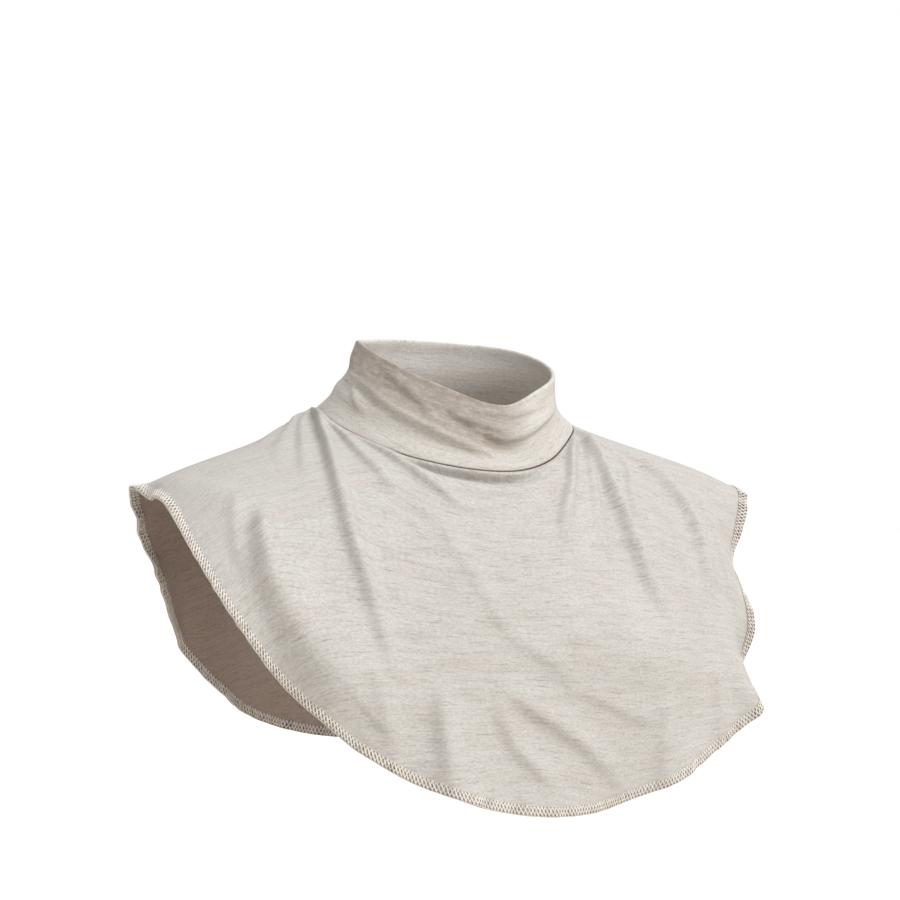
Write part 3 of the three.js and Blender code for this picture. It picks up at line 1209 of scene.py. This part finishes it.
def thicken(sheet: bpy.types.Object, thickness: float, offset: float) -> None:
    """Gives a sheet its thickness with Solidify, and keeps its marks for the materials.

    Args:
        sheet: The sheet.
        thickness: Thickness in millimetres.
        offset: -1 to grow inward, 0 to grow both ways.
    """
    inner = sheet.vertex_groups.new(name=INNER_LAYER)
    groups = {group.name: group.index for group in sheet.vertex_groups}
    solid = sheet.modifiers.new("thickness", "SOLIDIFY")
    solid.thickness = thickness * MM
    solid.offset = offset
    solid.vertex_group = FULL_CLOTH
    solid.thickness_vertex_group = THIN_SHARE
    solid.shell_vertex_group = inner.name
    select_only(sheet)
    bpy.ops.object.modifier_apply(modifier=solid.name)
    bpy.ops.object.shade_smooth()
    # The inner face and the stitched edge become marks where the jersey paints shade
    for group, mark in ((INNER_LAYER, INSIDE), (STITCHED_EDGE, UNDER_THREADS)):
        if group in groups:
            keep_mark(sheet, groups[group], mark)


def keep_mark(sheet: bpy.types.Object, group: int, name: str) -> None:
    """Keeps a vertex group as an attribute that a material can read.

    Args:
        sheet: The sheet.
        group: Number of the vertex group.
        name: The attribute's name.
    """
    marks = [float(any(place.group == group for place in point.groups)) for point in sheet.data.vertices]
    sheet.data.attributes.new(name, "FLOAT", "POINT").data.foreach_set("value", marks)
    LOG.info("%s: %d of %d points are %s", sheet.name, sum(marks), len(marks), name)


@dataclass(frozen=True)
class TurnedEdge:
    """Edge of cloth that is turned into a seam: round a small radius and then straight in."""

    radius: float = 0.7
    depth: float = 2.8
    arc_steps: int = 3

    def rows(self) -> list[tuple[float, float]]:
        """Lists the rows from the hidden edge outward.

        Returns:
            The distance of each row down the cloth and inward, in millimetres.
        """
        straight = [(0.0, self.depth), (0.0, (self.depth + self.radius) / 2)]
        quarter = [math.pi / 2 * (1 - step / self.arc_steps) for step in range(self.arc_steps)]
        arc = [(self.radius * (1 - math.sin(turn)), self.radius * (1 - math.cos(turn))) for turn in quarter]
        return straight + arc


@dataclass
class ClothPiece:
    """Ring of cloth, whose columns lie closer together at the front."""

    name: str
    cloth: float
    columns: int
    front_crowding: float = 0.5
    start_angle: float = 0.0
    turned: TurnedEdge = TurnedEdge()

    def column_angle(self, column: Array) -> Array:
        """Angles of the columns in degrees."""
        even = self.start_angle + 360 * column / self.columns
        return even + np.degrees(self.front_crowding * np.sin(np.radians(even - BACK_ANGLE)))


@dataclass
class Cape(ClothPiece):
    """Sleeveless cape of single jersey that hangs from the neck seam."""

    name: str = "jersey_cape"
    cloth: float = 1.2
    columns: int = 304
    front_crowding: float = 0.7
    rows: int = 160
    row_crowding: float = 0.3
    seam_gap: float = 0.24
    held_rows: int = 9
    stitched_width: float = 5.4
    flat_size: tuple[float, float] = (0.52, 0.66)
    flat_area: float = 0.22

    def __post_init__(self) -> None:
        """Makes the surface that the cape follows."""
        self.surface = CapeSurface(CAPE_FOLDS, RUFFLES)

    def build(self) -> bpy.types.Object:
        """Makes the cape's mesh.

        Returns:
            The piece.
        """
        sheet, column, row = flat_sheet(self.name, self.columns, self.rows)
        turned_rows = self.turned.rows()
        hidden = len(turned_rows)
        angle = self.column_angle(column)
        first = self.surface.share_of(self.seam_gap + self.turned.radius, angle)
        even = (row - hidden) / (self.rows - hidden)
        crowded = even - self.row_crowding * np.sin(math.tau * even) / math.tau
        along = first + (1 - first) * crowded
        inward = np.zeros(len(row))
        for number, (down, deep) in enumerate(turned_rows):
            here = row == number
            along[here] = self.surface.share_of(self.seam_gap + down, angle[here])
            inward[here] = deep
        points, outward = self.surface.face(angle, along)
        points = points - outward * inward[:, None]
        shape_sheet(sheet, points, self.flat_pattern(angle, along))
        weigh_cloth(sheet, np.flatnonzero(row < hidden - 1))
        # Marks the stitched edge, where the jersey paints shade under the threads
        stitched = self.surface.share_of(self.stitched_width, angle)
        mark_points(sheet, STITCHED_EDGE, np.flatnonzero(along > 1 - stitched))
        loose = (row > hidden + self.held_rows) & (along < 1 - 2 * stitched)
        mark_points(sheet, LOOSE_CLOTH, np.flatnonzero(loose))
        sew_closed(sheet)
        ease(sheet)
        thicken(sheet, self.cloth, -1)
        return sheet

    def flat_pattern(self, angle: Array, along: Array) -> Array:
        """Finds where places lie on the flat cloth: across the body, and down along the wales.

        Args:
            angle: Angles in degrees, one for each place.
            along: Shares of the way down.

        Returns:
            The two distances in millimetres, one row for each place.
        """
        across = self.surface.form(angle, along)[:, 0]
        seam, middle, edge = COURSE_LINE.at(angle).T
        down = seam * (1 - along) * (1 - 2 * along) + 4 * middle * along * (1 - along)
        return np.stack([across, down + edge * along * (2 * along - 1)], axis=1)

    def declare(self, sheet: bpy.types.Object, on_it: Sequence[bpy.types.Object]) -> None:
        """Gives the cape its material, attaches it to the root and hides the model's cape part.

        Args:
            sheet: The cape.
            on_it: Not used.
        """
        dress(sheet, CAPE_JERSEY.material())
        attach(sheet, "root")
        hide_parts("cape")


@dataclass
class Collar(ClothPiece):
    """Short stand-up collar: a band of jersey folded over at the rim, with its join at the back."""

    name: str = "folded_collar"
    cloth: float = 0.9
    columns: int = 480
    start_angle: float = BACK_ANGLE
    outer_rows: int = 38
    inner_rows: int = 24
    rim_steps: int = 5
    layer_gap: float = 0.2
    inner_rise: float = 1.6
    rim_roll: float = 1.1
    roll_reach: float = 6.0
    band_height: float = 55.0
    seam_gap: float = 0.42
    flat_size: tuple[float, float] = (0.5, 0.11)

    def __post_init__(self) -> None:
        """Makes the surface that the collar follows."""
        self.surface = CollarSurface(COLLAR_FOLDS)

    def sections(self, height: Array, row: Array) -> tuple[Array, Array, Array, Array]:
        """Works out the folded band's section, from inside up over the rim and down the outside.

        Args:
            height: Height of the collar at each point in millimetres.
            row: Number of each point's row.

        Returns:
            The drop from the rim as a share, the depth under the outer face, the rise above the
            rim, and the distance along the flat band from the inner seam as a share of its height.
        """
        outer_depth = self.cloth / 2
        inner_depth = outer_depth + self.cloth + self.layer_gap
        bend = (inner_depth + self.rim_roll - outer_depth) / 2
        drop, depth, rise, band = (np.zeros(len(row)) for _ in range(4))
        inner = row < self.inner_rows
        drop[inner] = (1 - self.inner_rise / height[inner]) * (1 - row[inner] / self.inner_rows)
        depth[inner] = inner_depth + self.rim_roll * np.exp(-((drop * height)[inner] / self.roll_reach) ** 2)
        band[inner] = 1 - drop[inner]
        rim_end = self.inner_rows + self.rim_steps
        rim = (row >= self.inner_rows) & (row <= rim_end)
        turn = np.pi * (row[rim] - self.inner_rows) / self.rim_steps
        depth[rim] = outer_depth + bend + bend * np.cos(turn)
        rise[rim] = bend * np.sin(turn)
        band[rim] = 1
        outer_end = rim_end + self.outer_rows
        outer = (row > rim_end) & (row <= outer_end)
        last = 1 - (self.seam_gap + self.turned.radius) / height[outer]
        drop[outer] = last * (row[outer] - rim_end) / self.outer_rows
        depth[outer] = outer_depth
        band[outer] = 1 + drop[outer]
        for number, (down, deep) in enumerate(reversed(self.turned.rows())):
            here = row == outer_end + 1 + number
            drop[here] = 1 - (self.seam_gap + down) / height[here]
            depth[here] = outer_depth + deep
            band[here] = 2 + (deep - down) / self.band_height
        return drop, depth, rise, band

    def build(self) -> bpy.types.Object:
        """Makes the collar's mesh.

        Returns:
            The piece.
        """
        hidden = len(self.turned.rows())
        rows = self.inner_rows + self.rim_steps + self.outer_rows + hidden
        sheet, column, row = flat_sheet(self.name, self.columns, rows)
        angle = self.column_angle(column)
        top = self.surface.form(angle, np.zeros(len(angle)))
        bottom = self.surface.form(angle, np.ones(len(angle)))
        drop, depth, rise, band = self.sections(np.linalg.norm(bottom - top, axis=1), row)
        points, outward = self.surface.face(angle, drop)
        points = points - outward * depth[:, None]
        points[:, 2] += rise
        pattern = np.stack([self.lengths_round()[column], band * self.band_height], axis=1)
        shape_sheet(sheet, points, pattern)
        weigh_cloth(sheet, np.flatnonzero(row > rows - hidden + 1))
        sew_closed(sheet)
        thicken(sheet, self.cloth, 0)
        return sheet

    def lengths_round(self) -> Array:
        """Measures how far each column is from the join, along the middle of the band.

        Returns:
            One distance in millimetres for each column and for the join again.
        """
        angle = self.column_angle(np.arange(self.columns + 1))
        middle = self.surface.form(angle, np.full(len(angle), 0.5))
        steps = np.linalg.norm(np.diff(middle, axis=0), axis=1)
        return np.concatenate([[0.0], np.cumsum(steps)])

    def declare(self, sheet: bpy.types.Object) -> None:
        """Gives the collar its material, attaches it to the root and hides the model's collar part.

        Args:
            sheet: The collar.
        """
        dress(sheet, COLLAR_JERSEY.material())
        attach(sheet, "root")
        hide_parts("collar")


class HemStrip:
    """The last of the cape along its edge, as a strip that stitches are laid on."""

    SAMPLES = 2880

    def __init__(self, surface: CapeSurface, width: float) -> None:
        """Measures the strip.

        Args:
            surface: The cape's surface.
            width: Width of the strip in millimetres.
        """
        angle = np.linspace(0, 360, self.SAMPLES + 1)
        edge, _ = surface.face(angle, np.ones(len(angle)))
        top, _ = surface.face(angle, 1 - surface.share_of(width, angle))
        up = unit(top - edge)
        forward = np.vstack([edge[1:] - edge[:-1], edge[1:2] - edge[:1]])
        outward = unit(np.cross(-up, forward))
        steps = np.linalg.norm(forward[:-1], axis=1)
        self.reached = np.concatenate([[0.0], np.cumsum(steps)])
        self.length = float(self.reached[-1])
        self.columns = np.hstack([edge, up, outward]).T

    def place(self, along: Array, across: Array, out: Array) -> Array:
        """Finds places on the strip.

        Args:
            along: Distances along the edge in millimetres.
            across: Distances up from the edge.
            out: Distances out of the cloth.

        Returns:
            The places, one row each.
        """
        at = np.mod(along, self.length)
        row = np.stack([np.interp(at, self.reached, column) for column in self.columns], axis=1)
        up, outward = unit(row[:, 3:6]), unit(row[:, 6:9])
        return row[:, :3] + up * across[:, None] + outward * out[:, None]


class StitchPoint(NamedTuple):
    """A point of one stitch: share of the pitch, millimetres up from the edge and out of the cloth."""

    along: float
    across: float
    out: float


@dataclass(frozen=True)
class ThreadRun:
    """A thread that repeats one stitch all the way round the edge."""

    name: str
    stitch: tuple[StitchPoint, ...]
    radius: float
    replaces: str | None = None


@dataclass
class Overlock:
    """Three-thread overlock that wraps the cape's edge."""

    cloth: float = 1.2
    width: float = 6.6
    pitch: float = 2.9
    looper_radius: float = 0.48
    needle_radius: float = 0.22
    needle_inset: float = 0.3
    loop_shoulder: float = 0.8
    bevel_resolution: int = 1

    def looper(self, layer: Layer) -> tuple[StitchPoint, ...]:
        """Works out the loop that a looper thread lays on one side of the cloth.

        Args:
            layer: Side of the cloth.

        Returns:
            One stitch: in from the edge, round under the needle's line and back to the edge.
        """
        inner_end = self.width - self.looper_radius
        loop = (
            StitchPoint(-0.55, -0.25, 0.0),
            StitchPoint(-0.5, 0.6, 0.2),
            StitchPoint(0.0, inner_end * 0.5, 0.2),
            StitchPoint(0.38, inner_end - self.loop_shoulder, 0.2),
            StitchPoint(0.46, inner_end, 0.15),
            StitchPoint(0.54, inner_end, 0.15),
            StitchPoint(0.62, inner_end - self.loop_shoulder, 0.25),
            StitchPoint(1.0, inner_end * 0.5, 0.45),
            StitchPoint(1.5, 0.6, 0.35),
            StitchPoint(1.55, -0.25, 0.1),
        )
        if layer is Layer.OUTER:
            return loop
        return tuple(StitchPoint(place.along + 0.5, place.across, -self.cloth - place.out) for place in loop)

    def runs(self) -> tuple[ThreadRun, ...]:
        """Lists the threads with their stitches.

        Returns:
            The upper looper's, the lower looper's and the needle's thread.
        """
        line = self.width - self.needle_inset
        needle = (
            StitchPoint(0.0, line, -0.5),
            StitchPoint(0.12, line, 0.2),
            StitchPoint(0.3, line + 0.05, 0.55),
            StitchPoint(0.7, line + 0.05, 0.55),
            StitchPoint(0.88, line, 0.2),
        )
        return (
            ThreadRun("upper_looper_thread", self.looper(Layer.OUTER), self.looper_radius, "hem"),
            ThreadRun("lower_looper_thread", self.looper(Layer.INNER), self.looper_radius),
            ThreadRun("needle_thread", needle, self.needle_radius),
        )

    def build(self, surface: CapeSurface) -> list[bpy.types.Object]:
        """Lays each thread along the edge of the cape.

        Args:
            surface: The cape's surface.

        Returns:
            The thread pieces.
        """
        strip = HemStrip(surface, self.width)
        count = round(strip.length / self.pitch)
        pieces = []
        for run in self.runs():
            piece = self.lay(run, strip, count)
            dress(piece, OVERLOCK_THREAD.material())
            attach(piece, "root")
            if run.replaces:
                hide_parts(run.replaces)
            LOG.info("%s: %d stitches round %.0f mm", run.name, count, strip.length)
            pieces.append(piece)
        return pieces

    def lay(self, run: ThreadRun, strip: HemStrip, count: int) -> bpy.types.Object:
        """Makes one thread as a closed round line through all its stitches, turned into a mesh.

        Args:
            run: The thread.
            strip: The strip that it is laid on.
            count: Number of stitches.

        Returns:
            The piece.
        """
        stitch = np.array(run.stitch)
        starts = np.repeat(np.arange(count), len(stitch))
        along = (starts + np.tile(stitch[:, 0], count)) * strip.length / count
        points = strip.place(along, np.tile(stitch[:, 1], count), np.tile(stitch[:, 2], count)) * MM
        line = bpy.data.curves.new(run.name, "CURVE")
        line.dimensions = "3D"
        line.bevel_depth = run.radius * MM
        line.bevel_resolution = self.bevel_resolution
        spline = line.splines.new("POLY")
        spline.points.add(len(points) - 1)
        spline.points.foreach_set("co", np.column_stack([points, np.ones(len(points))]).ravel())
        spline.use_cyclic_u = True
        thread = bpy.data.objects.new(run.name, line)
        bpy.context.scene.collection.objects.link(thread)
        select_only(thread)
        bpy.ops.object.convert(target="MESH")
        bpy.ops.object.shade_smooth()
        return bpy.context.object


@dataclass
class Studio:
    """White studio: pale floor, soft light and the camera at the photograph's angle."""

    image_size: float = 900.0
    horizon_row: float = 496.0
    focal_pixels: float = 2232.0
    sensor: float = 36.0
    turn: float = 36.3
    distance: float = 1.564
    camera_height: float = -0.05
    floor_height: float = -0.42
    floor_size: float = 30.0
    sky_strength: float = 1.0
    light_from: tuple[float, float, float] = (0.5, -1.9, 1.8)
    light_power: float = 4.05
    light_tint: tuple[float, float, float] = (0.93, 0.955, 1.0)
    light_spread: float = 40.0

    def build(self) -> None:
        """Makes the floor, the lights and the camera."""
        self.add_floor()
        self.add_sky()
        self.add_key_light()
        self.add_camera()

    def add_floor(self) -> None:
        """Lays a wide pale floor below the cover."""
        bpy.ops.object.select_all(action="DESELECT")
        bpy.ops.mesh.primitive_plane_add(size=self.floor_size, location=(0, 0, self.floor_height))
        floor = bpy.context.object
        floor.name = "studio_floor"
        bpy.ops.object.transform_apply(location=True)
        dress(floor, STUDIO_PAPER.material())

    def add_sky(self) -> None:
        """Surrounds the studio with even white light."""
        world = bpy.data.worlds.new("studio_white")
        world.use_nodes = True
        background = world.node_tree.nodes["Background"]
        background.inputs["Color"].default_value = (1, 1, 1, 1)
        background.inputs["Strength"].default_value = self.sky_strength
        bpy.context.scene.world = world
        bpy.context.scene.view_settings.view_transform = "Standard"

    def add_key_light(self) -> None:
        """Adds the one large soft light, to the right of the camera and above it."""
        bpy.ops.object.light_add(type="SUN", location=self.light_from)
        light = bpy.context.object
        light.name = "key_light"
        light.data.energy = self.light_power
        light.data.color = self.light_tint
        light.data.angle = math.radians(self.light_spread)
        aim = -light.location
        light.rotation_euler = aim.to_track_quat("-Z", "Y").to_euler()

    def add_camera(self) -> None:
        """Places the camera level with the chest, turned to the wearer's right."""
        turned = math.radians(self.turn)
        place = (-self.distance * math.sin(turned), -self.distance * math.cos(turned), self.camera_height)
        bpy.ops.object.camera_add(location=place, rotation=(math.pi / 2, 0, -turned))
        camera = bpy.context.object
        camera.data.sensor_width = self.sensor
        camera.data.lens = self.focal_pixels * self.sensor / self.image_size
        camera.data.shift_y = (self.horizon_row - self.image_size / 2) / self.image_size
        bpy.context.scene.camera = camera


def main() -> None:
    """Builds the studio and the neck cover, piece by piece."""
    logging.basicConfig(level=logging.INFO, format="%(message)s")
    Studio().build()
    collar = Collar()
    band = collar.build()
    collar.declare(band)
    LOG.info("collar: %d faces", len(band.data.polygons))
    cape = Cape()
    sheet = cape.build()
    threads = Overlock().build(cape.surface)
    cape.declare(sheet, threads)
    LOG.info("cape: %d faces", len(sheet.data.polygons))


if __name__ == "__main__":
    main()
